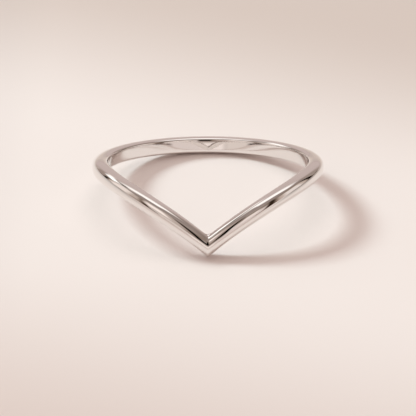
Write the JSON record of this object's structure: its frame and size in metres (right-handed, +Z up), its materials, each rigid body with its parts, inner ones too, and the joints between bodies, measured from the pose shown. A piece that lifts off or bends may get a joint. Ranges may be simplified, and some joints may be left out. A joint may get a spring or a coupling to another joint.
{
  "type": "chevron ring",
  "caption": "Slim plain finger ring in polished white metal, its band dipping into a pointed V at the front, lying on its side as it rests by itself.",
  "frame": {"origin": "on the surface that the ring lies on, under the centre of its box", "axes": "+Z up from that surface, -Y towards the tip of the V, +X to the right when the tip faces the viewer"},
  "size_m": [0.02, 0.0206, 0.0049],
  "materials": {
    "band": "mirror-polished white metal, rhodium plated"
  },
  "bodies": {
    "root": {"band": "band"}
  },
  "joints": []
}
